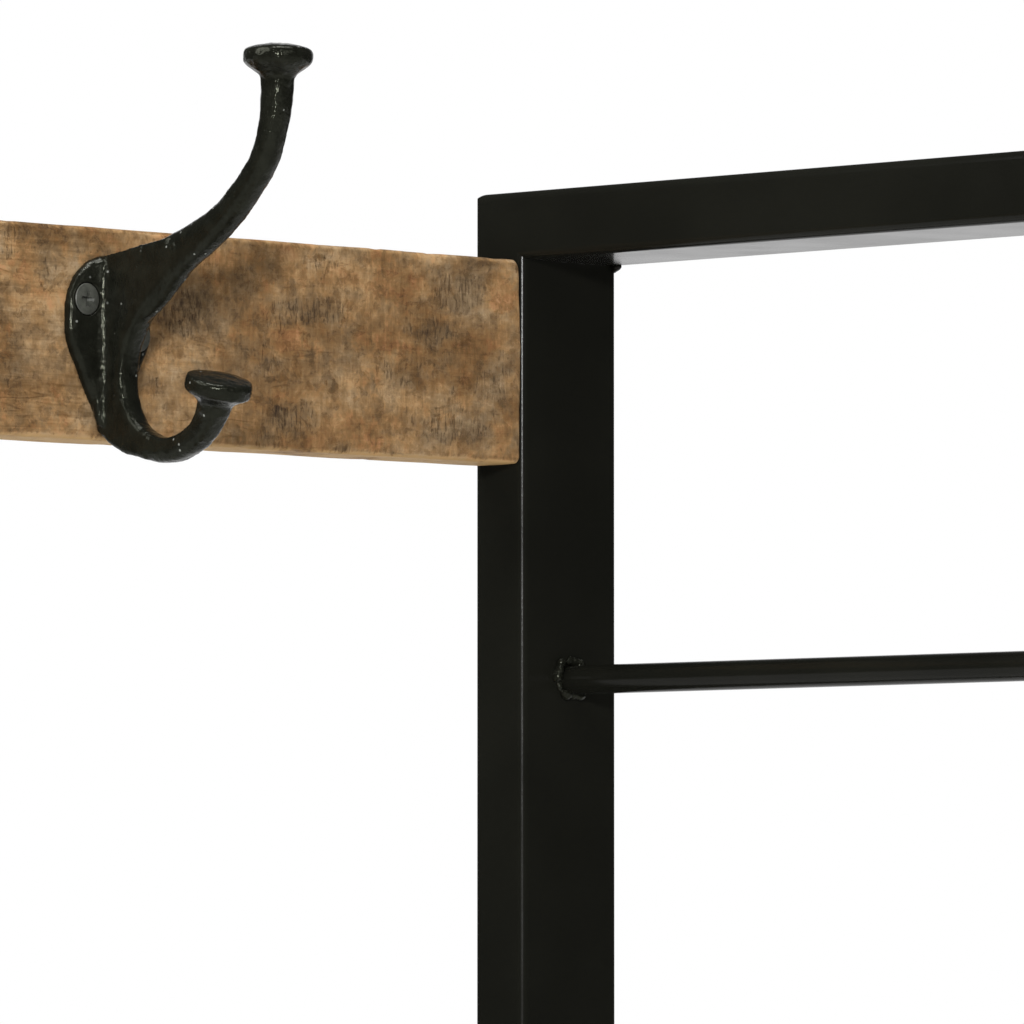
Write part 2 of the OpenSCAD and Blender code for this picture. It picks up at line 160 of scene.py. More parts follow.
class Paint:
    """A Principled material and short calls that add nodes to it. Lengths in its textures are millimetres."""

    def __init__(self, name):
        self.data = bpy.data.materials.new(name)
        self.data.use_nodes = True
        self.tree = self.data.node_tree
        self.shader = self.tree.nodes["Principled BSDF"]
        place = self.node("TexCoord").outputs["Object"]
        scaled = self.node("VectorMath", operation="SCALE")
        self.tree.links.new(place, scaled.inputs[0])
        scaled.inputs["Scale"].default_value = 1 / MM
        self.place = scaled.outputs[0]

    def node(self, kind, **settings):
        made = self.tree.nodes.new("ShaderNode" + kind)
        for key, value in settings.items():
            setattr(made, key, value)
        return made

    def put(self, socket, value):
        if isinstance(value, bpy.types.NodeSocket):
            self.tree.links.new(value, socket)
        else:
            socket.default_value = value

    def set(self, **values):
        """Puts values on the shader's own sockets, such as roughness=0.4."""
        for key, value in values.items():
            self.put(self.shader.inputs[key.replace("_", " ").title().replace("Ior", "IOR")], value)

    def stretched(self, sizes, shift=(0, 0, 0)):
        """The place divided by a feature size along each axis, in millimetres."""
        made = self.node("Mapping")
        self.put(made.inputs["Vector"], self.place)
        made.inputs["Scale"].default_value = [1 / s for s in sizes]
        made.inputs["Location"].default_value = shift
        return made.outputs[0]

    def noise(self, sizes, detail=3.0, rough=0.55, twist=0.0, shift=(0, 0, 0)):
        made = self.node("TexNoise")
        sizes = sizes if isinstance(sizes, tuple) else (sizes,) * 3
        self.put(made.inputs["Vector"], self.stretched(sizes, shift))
        made.inputs["Scale"].default_value = 1.0
        made.inputs["Detail"].default_value = detail
        made.inputs["Roughness"].default_value = rough
        made.inputs["Distortion"].default_value = twist
        return made.outputs["Fac"]

    def spots(self, sizes, shift=(0, 0, 0)):
        """Distance to the nearest scattered point, and a number of its own for each point."""
        made = self.node("TexVoronoi")
        self.put(made.inputs["Vector"], self.stretched(sizes, shift))
        made.inputs["Scale"].default_value = 1.0
        return made.outputs["Distance"], made.outputs["Color"]

    def math(self, operation, a, b=0.0, clamp=False):
        made = self.node("Math", operation=operation, use_clamp=clamp)
        self.put(made.inputs[0], a)
        self.put(made.inputs[1], b)
        return made.outputs[0]

    def step(self, value, low, high, to_low=0.0, to_high=1.0):
        """Smooth step from to_low to to_high as value goes from low to high."""
        made = self.node("MapRange", interpolation_type="SMOOTHSTEP")
        for socket, number in zip(made.inputs, (value, low, high, to_low, to_high)):
            self.put(socket, number)
        return made.outputs[0]

    def mix(self, share, a, b, blend="MIX"):
        made = self.node("Mix", data_type="RGBA", blend_type=blend)
        for socket, value in ((made.inputs[0], share), (made.inputs[6], a), (made.inputs[7], b)):
            self.put(socket, value)
        return made.outputs[2]

    def ramp(self, value, stops):
        """Colour along a ramp of (place, colour) stops."""
        made = self.node("ValToRGB")
        elements = made.color_ramp.elements
        while len(elements) < len(stops):
            elements.new(1.0)
        for element, (place, colour) in zip(elements, stops):
            element.position = place
            element.color = colour
        self.put(made.inputs[0], value)
        return made.outputs[0]

    def attribute(self, name):
        return self.node("Attribute", attribute_name=name).outputs["Fac"]

    def own_number(self):
        """A number from 0 to 1 that differs from piece to piece."""
        return self.node("ObjectInfo").outputs["Random"]

    def bump(self, height, depth=1.0, below=None):
        """height is in millimetres once multiplied by depth."""
        made = self.node("Bump")
        made.inputs["Distance"].default_value = depth * MM
        self.put(made.inputs["Height"], height)
        if below is not None:
            self.put(made.inputs["Normal"], below)
        return made.outputs[0]


def steel_paint():
    """Satin black powder coat: near black, with a fine orange peel and faint dust."""
    m = Paint("black_steel")
    cloud = m.noise(60.0, detail=2.0)
    m.set(base_color=m.mix(m.step(cloud, 0.3, 0.7), (0.0068, 0.0069, 0.0052, 1), (0.0092, 0.0093, 0.0070, 1)),
          roughness=m.step(m.noise(25.0, detail=4.0), 0.25, 0.75, 0.17, 0.22), specular_ior_level=0.10)
    peel = m.bump(m.noise(1.1, detail=1.0), 0.016)
    m.set(normal=m.bump(m.noise(45.0, detail=1.0), 0.35, below=peel))
    return m.data


def hook_paint():
    """Gloss black paint over a rough sand casting."""
    m = Paint("cast_hook")
    shift = m.own_number()
    grain = m.noise(1.0, detail=3.0, rough=0.65)
    pits = m.noise(4.5, detail=3.0, rough=0.6)
    worn = m.step(m.noise(3.2, detail=4.0, rough=0.7, shift=(3, 1, 7)), 0.66, 0.74)
    dust_gap, dust_own = m.spots((2.6, 2.6, 2.6))
    speck = m.math("MULTIPLY", m.step(dust_gap, 0.17, 0.10), m.step(dust_own, 0.74, 0.78))
    colour = m.mix(m.step(pits, 0.35, 0.65), (0.0060, 0.0062, 0.0044, 1), (0.0090, 0.0094, 0.0068, 1))
    colour = m.mix(m.math("MULTIPLY", worn, 0.16), colour, srgb(62, 64, 56))
    speck = m.math("MULTIPLY", speck, m.step(shift, 0.0, 1.0, 0.5, 0.6))
    m.set(base_color=m.mix(speck, colour, srgb(150, 152, 146)),
          roughness=m.step(m.noise(6.0, detail=3.0), 0.3, 0.7, 0.07, 0.12), specular_ior_level=0.14,
          specular_tint=(0.92, 0.95, 0.74, 1))
    m.set(normal=m.bump(grain, 0.15, below=m.bump(pits, 0.35)))
    return m.data


def wood():
    """Reclaimed boards: patches of tan, olive grey and red brown, then grain, saw marks and wear, with painted
    light on the bottom band and a painted shadow beside the nearest hook.
    """
    m = Paint("weathered_wood")
    arris, rings, grain = m.attribute("arris"), m.attribute("rings"), m.attribute("grain")
    cloud = m.noise((40.0, 26.0, 26.0), detail=2.0, shift=(1, 1, 7))
    patch = m.noise((15.0, 11.0, 11.0), detail=7.0, rough=0.64, twist=0.5)
    mottle = m.noise((2.9, 3.7, 3.7), detail=4.0, rough=0.68, twist=0.5, shift=(1, 8, 5))
    crumb = m.noise((1.2, 1.5, 1.5), detail=2.0, rough=0.6, shift=(5, 2, 2))
    saw = m.noise((1.2, 9.0, 9.0), detail=4.0, rough=0.65, twist=0.3)
    fibre = m.noise((30.0, 1.5, 1.5), detail=5.0, rough=0.66, twist=0.6)
    scrape = m.noise((6.0, 4.6, 4.6), detail=6.0, rough=0.74, twist=0.4, shift=(7, 3, 1))

    def weigh(total, *parts):
        """total plus each (noise, weight), with the noise centred on zero."""
        for part, weight in parts:
            total = m.math("ADD", total, m.math("MULTIPLY", m.math("SUBTRACT", part, 0.5), weight))
        return total

    def region(stain, size, shift):
        """From 0 to 1 where a stain shows: its listed part plus clouds, with a ragged edge."""
        placed = m.math("MULTIPLY", m.attribute(stain), 0.26)
        return m.step(weigh(placed, (m.noise(size, detail=4.0, rough=0.6, shift=shift), 1.0), (mottle, 0.5),
                            (saw, 0.3)), 0.02, 0.24)

    grey = region("grey", (21.0, 11.0, 11.0), (8, 2, 3))
    red = region("red", (16.0, 9.0, 9.0), (2, 6, 9))
    ochre = region("ochre", (26.0, 12.0, 12.0), (5, 5, 1))

    # Hue wanders from olive grey through tan to red brown at about the same lightness
    hue = weigh(0.47, (m.noise((30.0, 17.0, 17.0), detail=4.0, rough=0.6, shift=(9, 4, 4)), 1.2),
                (m.noise((7.0, 6.0, 6.0), detail=3.0, rough=0.65, shift=(2, 9, 1)), 1.0), (mottle, 0.4))
    for part, weight in ((grey, -0.28), (red, 0.30), (ochre, 0.10)):
        hue = m.math("ADD", hue, m.math("MULTIPLY", part, weight))
    tint = m.ramp(hue, ((0.10, (0.89, 1.0, 1.20, 1)), (0.40, (0.98, 1.0, 1.04, 1)),
                        (0.60, (1.04, 0.98, 0.90, 1)), (0.80, (1.09, 0.93, 0.83, 1)),
                        (0.95, (1.09, 0.88, 0.80, 1))))

    # Thin growth rings follow the grain in places, and saw marks cross it where the wood is grey
    ring_at = m.math("ADD", m.math("MULTIPLY", m.noise((80.0, 15.0, 15.0), detail=3.0, shift=(4, 4, 4)), 16.0),
                     m.math("MULTIPLY", fibre, 0.8))
    ring = m.step(m.math("PINGPONG", ring_at, 0.5), 0.20, 0.0)
    ringed = weigh(m.math("MULTIPLY", rings, 0.3), (m.noise((50.0, 20.0, 20.0), shift=(6, 1, 6)), 1.0))
    ring = m.math("MULTIPLY", ring, m.step(ringed, 0.06, 0.20))
    along = m.step(weigh(m.math("MULTIPLY", grain, 0.5), (cloud, 1.0)), 0.05, 0.35)
    cut = m.noise((0.7, 3.2, 3.2), detail=3.0, rough=0.65, twist=0.5, shift=(3, 3, 3))
    tick = m.math("MULTIPLY", m.step(cut, 0.52, 0.64), m.step(grey, 0.2, 0.9, 0.05, 1.0))
    gap, lot = m.spots((23.0, 14.0, 14.0))
    knot = m.math("MULTIPLY", m.step(gap, 0.13, 0.05), m.step(lot, 0.70, 0.72))
    dirt, worn = m.step(scrape, 0.47, 0.41), m.step(scrape, 0.57, 0.63)
    spot = m.step(weigh(m.attribute("spot"), (mottle, 2.6), (crumb, 1.0)), 0.45, 0.85)

    # Lightness, which picks a place on a ramp from dark to pale wood
    light = weigh(0.38, (cloud, 3.0), (patch, 3.2), (mottle, 1.9), (crumb, 0.8))
    for part, low, high in ((saw, 1.3, 0.7), (fibre, 0.9, 2.3)):
        centred = m.math("SUBTRACT", part, 0.5)
        light = m.math("ADD", light, m.math("MULTIPLY", centred, m.step(along, 0, 1, low, high)))
    rubbed = m.math("MULTIPLY", m.step(arris, 0.35, 0.8), m.step(patch, 0.35, 0.6, 0.3, 1.0))
    soiled = m.math("MULTIPLY", m.step(arris, 0.15, 0.4), m.step(mottle, 0.45, 0.37))
    # These terms include painted light: the bottom band is made lighter as if lit from the floor below, and one
    # darkening attribute also holds a painted shadow beside the nearest hook.
    for part, weight in ((grey, -0.22), (ochre, 0.28), (red, -0.12), (tick, -0.9), (ring, -0.75), (knot, -1.6),
                         (spot, -1.1), (dirt, -0.45), (worn, 0.32), (rubbed, 0.45), (soiled, -0.4),
                         (m.attribute("darkening_and_painted_shadow"), -0.30), (m.attribute("painted_underside_light"), 1.3), (m.own_number(), -0.3)):
        light = m.math("ADD", light, m.math("MULTIPLY", part, weight))
    place = m.math("ADD", m.math("MULTIPLY", light, 0.29), 0.68)
    colour = m.ramp(place, ((0.0, srgb(62, 44, 27)), (0.25, srgb(84, 62, 39)), (0.46, srgb(104, 79, 50)),
                            (0.67, srgb(128, 100, 67)), (0.81, srgb(146, 117, 81)), (1.0, srgb(170, 141, 104))))
    # The bottom band is also tinted yellow: painted light bounced up from the floor.
    tinted = m.node("VectorMath", operation="MULTIPLY")
    m.put(tinted.inputs[0], colour)
    m.put(tinted.inputs[1], m.mix(m.attribute("painted_underside_light"), tint, (1.05, 1.0, 0.80, 1)))
    m.set(base_color=tinted.outputs[0], specular_ior_level=0.12, roughness=m.step(mottle, 0.3, 0.7, 0.50, 0.68))

    deep = m.math("SUBTRACT", m.math("MULTIPLY", fibre, 0.3), m.math("MULTIPLY", tick, 0.30))
    for part, weight in ((knot, 0.5), (ring, 0.10), (grey, 0.12), (dirt, 0.15)):
        deep = m.math("SUBTRACT", deep, m.math("MULTIPLY", part, weight))
    rough = m.bump(m.math("ADD", m.math("MULTIPLY", crumb, 0.6), m.math("MULTIPLY", saw, 0.5)), 0.25)
    m.set(normal=m.bump(deep, 0.7, below=rough))
    return m.data


def hardware(name, dark, light, rough, metallic):
    """Small steel parts: a stained, slightly streaked plating."""
    m = Paint(name)
    stain = m.noise(2.5, detail=4.0, rough=0.6)
    m.set(base_color=m.mix(m.step(stain, 0.3, 0.7), dark, light), metallic=metallic,
          roughness=m.step(m.noise((0.8, 0.8, 6.0), detail=2.0), 0.3, 0.7, rough - 0.08, rough + 0.1),
          normal=m.bump(m.noise(0.7, detail=2.0), 0.02))
    return m.data


def foot_plastic():
    m = Paint("foot_plastic")
    m.set(base_color=m.mix(m.step(m.noise(9.0), 0.3, 0.7), (0.012, 0.012, 0.012, 1), (0.018, 0.018, 0.017, 1)),
          roughness=m.step(m.noise(4.0), 0.3, 0.7, 0.48, 0.6), normal=m.bump(m.noise(0.35, detail=1.0), 0.03))
    return m.data


MATERIALS = {
    "black_steel": steel_paint(),
    "cast_hook": hook_paint(),
    "weathered_wood": wood(),
    "black_hardware": hardware("black_hardware", (0.040, 0.042, 0.034, 1), (0.075, 0.078, 0.064, 1), 0.5, 0.2),
    "zinc_hardware": hardware("zinc_hardware", srgb(150, 152, 150), srgb(190, 190, 186), 0.38, 1.0),
    "foot_plastic": foot_plastic(),
}


def paint_cad_nodes():
    """Every CAD node takes the material of its slot in the record."""
    for part in frame["record"]["subparts"]:
        for material_slot in nodes[part["node"]].material_slots:
            material_slot.material = MATERIALS[part["material_slot"]]


# ---- boards ----

SCATTERED = ("grey", "red", "ochre", "rings", "grain")
STAIN_KINDS = SCATTERED + ("darkening_and_painted_shadow", "spot")
ARRIS_STEP = 0.5 * MM
ARRIS_BAND = 4 * MM
WEAR_REACH = 1.6 * MM
END_WEAR = 4 * MM
WANDER_SIZE = 38 * MM
NICK_SIZE = 7 * MM
CHIP_DEPTH = 2.6 * MM
BOARD_ARRIS = 1.8 * MM
PLANK_ARRIS = 2.2 * MM
GRID = (2.5 * MM, 2.0 * MM, 2.0 * MM)


def marks(low, high, coarse):
    """Places along one side of a board: close together near both ends, wider between."""
    near = np.arange(0, ARRIS_BAND, ARRIS_STEP)
    count = max(1, round((high - low - 2 * ARRIS_BAND) / coarse))
    middle = np.linspace(low + ARRIS_BAND, high - ARRIS_BAND, count + 1)
    return np.concatenate([low + near, middle, high - near[::-1]])


def box_grid(low, high, coarse):
    """Vertices and quads of a box whose faces are fine grids, welded at the edges."""
    lines = [marks(low[a], high[a], coarse[a]) for a in range(3)]
    verts, faces = [], []
    for axis in range(3):
        u, v = (axis + 1) % 3, (axis + 2) % 3
        for end, at in ((0, low[axis]), (1, high[axis])):
            gu, gv = np.meshgrid(lines[u], lines[v], indexing="ij")
            grid = np.zeros(gu.shape + (3,))
            grid[..., axis], grid[..., u], grid[..., v] = at, gu, gv
            start = sum(len(x) for x in verts)
            verts.append(grid.reshape(-1, 3))
            index = start + np.arange(gu.size).reshape(gu.shape)
            corners = [index[:-1, :-1], index[1:, :-1], index[1:, 1:], index[:-1, 1:]]
            faces.append(np.stack(corners if end else corners[::-1], -1).reshape(-1, 4))
    return np.concatenate(verts), np.concatenate(faces)


def worn_board(name, low, high, radius, seed, stains=()):
    """A board with rounded, chipped arrises and a slightly uneven surface. stains are places where the wood
    differs, and for one darkening kind also where a shadow is painted, each (kind, distance from the right end,
    height, half length, half height) in millimetres. Its bottom band is marked for painted light from the
    floor."""
    low, high = np.array(low), np.array(high)
    verts, faces = box_grid(low, high, GRID)
    wander = lumps(verts, WANDER_SIZE, seed)
    nick = lumps(verts, NICK_SIZE, seed + 0.5)
    gaps = np.minimum(verts - low, high - verts)
    bend = radius * np.clip(1 + 0.45 * wander + 0.25 * nick, 0.5, 1.9)
    bend *= 1 + 0.3 * np.exp(-gaps[:, 0] / END_WEAR)
    gaps = np.sort(gaps, axis=1)
    arris = np.exp(-gaps[:, 1] / WEAR_REACH)
    inner = np.clip(verts, low + bend[:, None], high - bend[:, None])
    away = verts - inner
    length = np.linalg.norm(away, axis=1)[:, None]
    out = away / length
    chip = np.clip(nick - 0.42, 0, 0.6) * CHIP_DEPTH * arris + 0.12 * MM * (1 + wander)
    verts = inner + out * (bend - chip)[:, None]
    obj = add_mesh(name, verts, faces)
    bm = bmesh.new()
    bm.from_mesh(obj.data)
    layer = bm.verts.layers.float.new("arris")
    for vert, value in zip(bm.verts, arris):
        vert[layer] = value
    bmesh.ops.remove_doubles(bm, verts=bm.verts, dist=0.01 * MM)
    bm.to_mesh(obj.data)
    bm.free()
    obj.data.polygons.foreach_set("use_smooth", [True] * len(obj.data.polygons))
    co = coordinates(obj.data)
    # Painted light: the bottom band, the underside and its arris, is marked to be drawn lighter and yellower,
    # as if lit by light bounced up from the floor.
    bottom = np.clip((low[2] + 1.4 * MM - co[:, 2]) / (1.1 * MM), 0, 1)
    set_attribute(obj.data, "painted_underside_light", bottom)
    # One darkening kind holds a painted shadow beside the nearest hook as well as a broad darker patch.
    for kind in STAIN_KINDS:
        amount = np.zeros(len(co))
        for stain, along, up, half_length, half_height in stains:
            if stain == kind:
                dx = (high[0] - co[:, 0] - along * MM) / (half_length * MM)
                dz = (co[:, 2] - (low[2] + high[2]) / 2 - up * MM) / (half_height * MM)
                amount = np.maximum(amount, np.exp(-((dx ** 2 + dz ** 2) ** 1.5)))
        set_attribute(obj.data, kind, amount)
    return obj


# Stains near the right end of the hook board: kind, distance from the end, height from the middle and half
# sizes, in millimetres. Of the two darkening entries, the one at 168, 25 is a painted shadow of the nearest
# hook's upper arm on the board just above its base plate, and the one at 118, 4 is a broad darker patch of the
# wood.
# Further along they are scattered at random, one to each STAIN_PITCH.
STAIN_PITCH = 26
STAINS_FROM = 215
BOARD_LENGTH = 1000
BOARD_STAINS = [
    ("grey", 87, 11, 17, 5), ("grey", 92, -22, 12, 5), ("grey", 29, 20, 13, 8), ("grey", 38, 6, 12, 4),
    ("grey", 32, -20, 14, 7), ("grey", 12, -3, 7, 7), ("grey", 188, 15, 4, 7), ("grey", 134, 10, 13, 8),
    ("red", 93, 2, 11, 5), ("red", 49, 14, 6, 4), ("red", 10, 20, 7, 5), ("red", 8, -20, 5, 7),
    ("red", 111, 3, 7, 6), ("red", 197, 17, 6, 6),
    ("ochre", 69, 21, 20, 6), ("ochre", 57, -6, 9, 11), ("ochre", 20, -10, 9, 4),
    ("rings", 188, -21, 22, 6), ("rings", 128, -23, 14, 5), ("rings", 99, -8, 5, 4), ("grain", 215, 0, 60, 50),
    # Darkening: at 118, 4 a broad darker patch; at 168, 25 a painted shadow of the nearest hook's upper arm.
    ("darkening_and_painted_shadow", 118, 4, 42, 45), ("darkening_and_painted_shadow", 168, 25, 9, 5),
    ("spot", 77, -11, 2.8, 2.2), ("spot", 88, 3, 2.4, 2.2), ("spot", 83, 26, 3.2, 1.8),
    ("spot", 99, -19, 4.0, 2.0),
]


def hook_board():
    rng = random.Random(11)
    stains = list(BOARD_STAINS)
    for along in range(STAINS_FROM, BOARD_LENGTH, STAIN_PITCH):
        kind = rng.choice(SCATTERED)
        stains.append((kind, along + rng.uniform(-9, 9), rng.uniform(-22, 22),
                       rng.uniform(6, 18), rng.uniform(4, 9)))
    board = worn_board("hook_board_wood", board_lo, board_hi, BOARD_ARRIS, 1.0, stains)
    finish_piece(board, MATERIALS["weathered_wood"], "weathered_wood", replaces=["hook_board"])


def planks():
    rows = [f"{level}_plank_{row}" for level in ("bench", "shelf") for row in ("front", "middle", "back")]
    for number, node in enumerate(rows):
        rng = random.Random(number)
        stains = [(rng.choice(SCATTERED), rng.uniform(10, 1000), rng.uniform(-8, 8), rng.uniform(14, 40),
                   rng.uniform(10, 24)) for _ in range(14)]
        plank = worn_board(f"{node}_wood", *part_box(node), PLANK_ARRIS, 2.0 + number, stains)
        finish_piece(plank, MATERIALS["weathered_wood"], "weathered_wood", replaces=[node])


# ---- hooks ----

# Upper arm from the base to the knob and lower arm from the base to its knob. Each row is the distance forward
# of the board, the height from its middle, half the thickness in the side view and half the width (mm). The
# base plate is the hull of circles on its middle line, each (height, radius), and a fillet of (height, radius)
# joins it to the web.
UPPER_ARM = [(4, 9.6, 11.6, 4.2), (17.2, 14.2, 10.1, 4.0), (31.2, 21, 6.1, 4.0), (44.8, 27.5, 4.8, 4.1),
             (55.1, 35, 4.0, 4.1), (64.3, 45.2, 3.8, 4.0), (68.2, 56.3, 4.15, 4.1), (69.4, 68.3, 4.6, 4.6)]
LOWER_ARM = [(19, 12, 4.6, 4.1), (12.0, 4, 4.2, 4.1), (7.8, -6, 3.8, 4.0), (7.5, -18, 3.7, 3.9),
             (14, -28.8, 3.7, 3.7), (25.5, -33.5, 3.6, 3.6), (36.8, -30.6, 3.6, 3.6),
             (42.5, -25.4, 3.9, 3.8), (44.9, -20.7, 4.4, 4.4)]
WEB = [(0.5, 21.2), (9, 22.6), (17, 23.6), (29, 25.5), (29, 16), (18, 6), (11, -4), (9, -18), (14, -28),
       (22, -33), (20.5, -36), (11, -34), (5, -30.9), (0.3, -27.2)]
WEB_HALF = 3.8
FILLET = [(20, 1.6), (15, 3.2), (0, 3.6), (-12, 3.2), (-22, 2.2), (-26, 1.2)]
PLATE = [(6.3, 15.6), (1.5, 15.6), (-24.5, 3.3)]
PLATE_THICK = 3.5
UPPER_LEAN = 0.03
SCREWS = [(-9.8, 9.2), (9.8, -0.3)]
SCREW_HEAD_R = 4.4
LOWER_LEAN = 0.33
KNOB_TWIST = -0.07
HOOK_VOXEL = 0.55 * MM
# Layers of lumps on the casting, each (height, size, seed)
SAND_ROUGHNESS = [(0.20 * MM, 9 * MM, 1.0), (0.10 * MM, 2.4 * MM, 2.0), (0.06 * MM, 1.2 * MM, 3.0)]
UPPER_KNOB = [(4.6, -3.5), (4.7, -0.8), (5.3, -0.3), (8.9, 2.3), (9.6, 3.1), (9.75, 4.2), (9.7, 5.8),
              (9.2, 6.8), (7.5, 7.5), (4.0, 8.2), (2.0, 8.4)]
LOWER_KNOB = [(4.5, -3.5), (4.6, -0.8), (6.6, 0.9), (8.8, 2.0), (9.45, 2.8), (9.5, 5.4), (9.2, 6.2),
              (8.6, 6.6), (5.0, 7.1), (2.0, 7.2)]


def in_hook(x, forward, up):
    """A point of a hook in metres: across the hook, forward of the board and up from its middle, in mm."""
    return Vector((x, -forward, up)) * MM


def catmull(rows, steps):
    """A smooth curve through the rows of numbers."""
    rows = [np.array(r, float) for r in rows]
    rows = [2 * rows[0] - rows[1]] + rows + [2 * rows[-1] - rows[-2]]
    curve = []
    for a, b, c, d in zip(rows, rows[1:], rows[2:], rows[3:]):
        for t in np.arange(steps) / steps:
            curve.append(0.5 * (2 * b + (c - a) * t + (2 * a - 5 * b + 4 * c - d) * t ** 2
                                + (3 * b - a - 3 * c + d) * t ** 3))
    return curve + [rows[-2]]


def skin(bm, rings):
    """Closed skin over rings of points, with a fan at each end."""
    rows = [[bm.verts.new(p) for p in ring] for ring in rings]
    for low, high in zip(rows, rows[1:]):
        for i, vert in enumerate(low):
            j = (i + 1) % len(low)
            bm.faces.new((vert, low[j], high[j], high[i]))
    for row in (rows[0][::-1], rows[-1]):
        bm.faces.new(row)


def arm(bm, rows, squareness, sides=28):
    """An arm of oval section, upright in the hook's middle plane. Its section is an ellipse where squareness
    is 1, and nears a rectangle as that falls."""
    curve = catmull(rows, 6)
    rings = []
    for k, row in enumerate(curve):
        ahead, behind = curve[min(k + 1, len(curve) - 1)], curve[max(k - 1, 0)]
        run = Vector((ahead[0] - behind[0], ahead[1] - behind[1])).normalized()
        ring = []
        for i in range(sides):
            angle = math.tau * i / sides
            deep, wide = (math.copysign(abs(f(angle)) ** squareness, f(angle)) for f in (math.cos, math.sin))
            ring.append(in_hook(row[3] * wide, row[0] - run.y * row[2] * deep, row[1] + run.x * row[2] * deep))
        rings.append(ring)
    skin(bm, rings)
    return curve[-1]


def lathe(bm, profile, place, sides=48):
    """Turns a profile of (radius, height) in millimetres about the Z axis of the place matrix."""
    rings = [[place @ (Vector((r * math.cos(math.tau * i / sides), r * math.sin(math.tau * i / sides), h)) * MM)
              for i in range(sides)] for r, h in profile if r > 0]
    skin(bm, rings)


def base_plate(bm, sides=96):
    """The hook's base plate, with a softened front edge."""
    rings = []
    for inset, height in ((0, -0.2), (0, 1.5), (0.5, 2.4), (1.5, 3.0), (3.5, 3.4), (7, PLATE_THICK), (13, 3.7)):
        ring = []
        for i in range(sides):
            angle = math.tau * i / sides
            mid, r = max(PLATE, key=lambda c: c[0] * math.sin(angle) + c[1])
            r = max(r - inset, 0.2)
            ring.append(in_hook(r * math.cos(angle), height, mid + r * math.sin(angle)))
        rings.append(ring)
    skin(bm, rings)


def web(bm):
    """The wall between the base plate and the two arms, and the hollow fillets along its foot."""
    skin(bm, [[in_hook(side * WEB_HALF, d, h) for d, h in WEB] for side in (-1, 1)])
    for side in (-1, 1):
        rings = []
        for up, r in FILLET:
            bend = [(WEB_HALF + r * (1 - math.sin(a)), PLATE_THICK + r * (1 - math.cos(a)))
                    for a in np.linspace(0, math.pi / 2, 7)]
            outline = [(WEB_HALF - 1, PLATE_THICK + r), (WEB_HALF - 1, 1.5), (WEB_HALF + r, 1.5)] + bend
            rings.append([in_hook(side * x, d, up) for x, d in outline])
        skin(bm, rings)


def knob_place(end, run, lean_left):
    """Matrix that stands a knob on the end of an arm, in line with it."""
    up = in_hook(0, run.x, run.y).normalized()
    turn = Matrix.Rotation(lean_left, 4, "Y") @ up.to_track_quat("Z", "Y").to_matrix().to_4x4()
    return Matrix.Translation(in_hook(0, end[0], end[1])) @ turn


def hook_mesh():
    bm = bmesh.new()
    base_plate(bm)
    web(bm)
    end = arm(bm, UPPER_ARM, 0.85)
    lathe(bm, UPPER_KNOB, knob_place(end, Vector((UPPER_LEAN, 1)), 0.0))
    end = arm(bm, LOWER_ARM, 0.62)
    lathe(bm, LOWER_KNOB, knob_place(end, Vector((math.sin(LOWER_LEAN), math.cos(LOWER_LEAN))), KNOB_TWIST))
    cast = object_from(bm, "hook_casting")
    baked(cast, ("REMESH", {"mode": "VOXEL", "voxel_size": HOOK_VOXEL}),
          ("SMOOTH", {"factor": 0.5, "iterations": 7}))
    roughen(cast, *SAND_ROUGHNESS)
    bm = bmesh.new()
    for x, up in SCREWS:
        place = Matrix.Translation(in_hook(x, 0, up)) @ Matrix.Rotation(math.radians(90), 4, "X")
        lathe(bm, [(2.3, -1), (2.3, 0.6), (4.75, PLATE_THICK - 0.4), (4.9, PLATE_THICK + 3)], place)
    sinks = object_from(bm, "sinks")
    baked(cast, ("BOOLEAN", {"operation": "DIFFERENCE", "object": sinks, "solver": "EXACT"}))
    bpy.data.objects.remove(sinks)
    return mesh_of(cast)


def screw_mesh():
    """Countersunk wood screw head with a cross recess, its face at the origin and looking along +Z."""
    bm = bmesh.new()
    lathe(bm, [(0.9, -9), (1.9, -7), (1.9, -3.2), (2.2, -2.6), (4.1, -0.45), (SCREW_HEAD_R, -0.25),
               (SCREW_HEAD_R, -0.1), (4.2, 0.05), (3.2, 0.18), (1.6, 0.25)], Matrix.Identity(4), 56)
    screw = object_from(bm, "screw_head")
    bm = bmesh.new()
    for turn in (0, 90):
        arm_place = Matrix.Rotation(math.radians(turn), 4, "Z")
        bottom = [(-1.2, -0.35), (1.2, -0.35), (1.2, 0.35), (-1.2, 0.35)]
        top = [(-2.5, -0.55), (2.5, -0.55), (2.5, 0.55), (-2.5, 0.55)]
        skin(bm, [[arm_place @ (Vector((x, y, z)) * MM) for x, y in ring]
                  for z, ring in ((-1.5, bottom), (0.6, top))])
    recess = object_from(bm, "recess")
    baked(recess, ("REMESH", {"mode": "VOXEL", "voxel_size": 0.12 * MM}))
    baked(screw, ("BOOLEAN", {"operation": "DIFFERENCE", "object": recess, "solver": "EXACT"}))
    bpy.data.objects.remove(recess)
    return mesh_of(screw)


